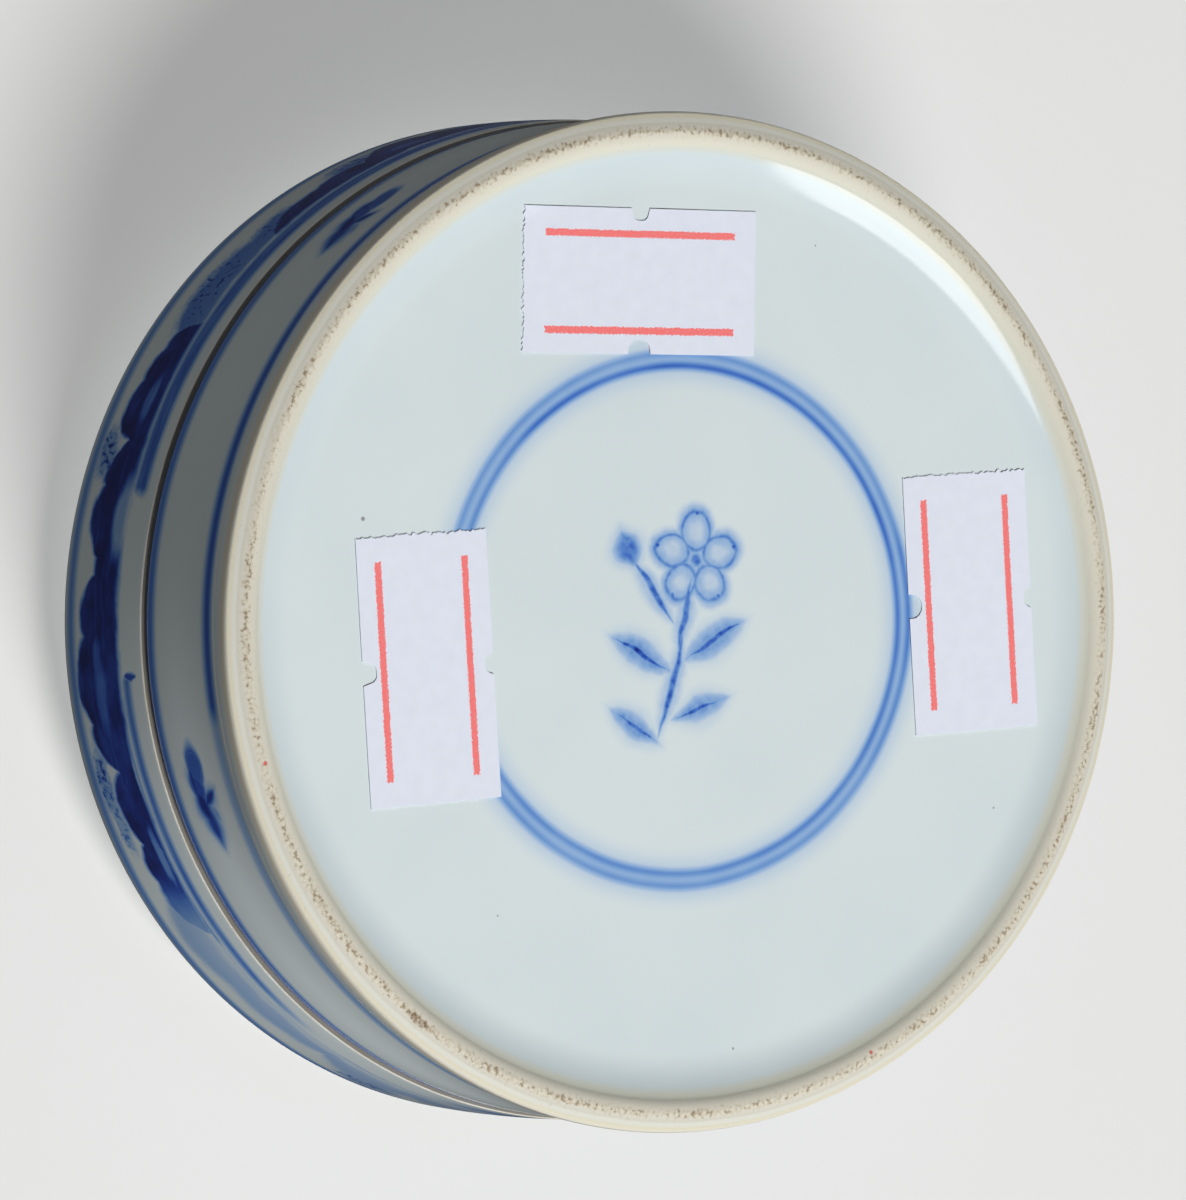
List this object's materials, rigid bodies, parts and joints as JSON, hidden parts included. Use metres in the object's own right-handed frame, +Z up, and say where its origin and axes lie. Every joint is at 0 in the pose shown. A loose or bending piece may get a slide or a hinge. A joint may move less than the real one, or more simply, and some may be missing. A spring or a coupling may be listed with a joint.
{
  "type": "porcelain box",
  "caption": "Low round porcelain box with a domed lift-off cover over an inner rim, a ground foot ring, blue painted bands and paper labels on its glazed underside.",
  "frame": {"origin": "centre of the foot ring, on the plane that the box stands on", "axes": "+Z up along the box's axis towards the cover, -Y towards the side that the picture shows, +X square to both"},
  "size_m": [0.0852, 0.0852, 0.0362],
  "materials": {
    "porcelain_lower": "pale bluish white glaze on porcelain, glossy, with blue lines under the glaze and a ground unglazed foot",
    "porcelain_cover": "glossy pale glaze over blue painted hills, with an unglazed lower edge",
    "label_paper": "matt coated label paper with two red rules"
  },
  "bodies": {
    "lower_box": {"lower_box": "porcelain_lower", "label_right": "label_paper", "label_front": "label_paper", "label_back": "label_paper"},
    "cover": {"cover": "porcelain_cover"}
  },
  "joints": [
    {"name": "cover_lift", "type": "slide", "parent": "lower_box", "child": "cover", "axis": [0, 0, 1], "range_m": [0, 0.045]}
  ]
}
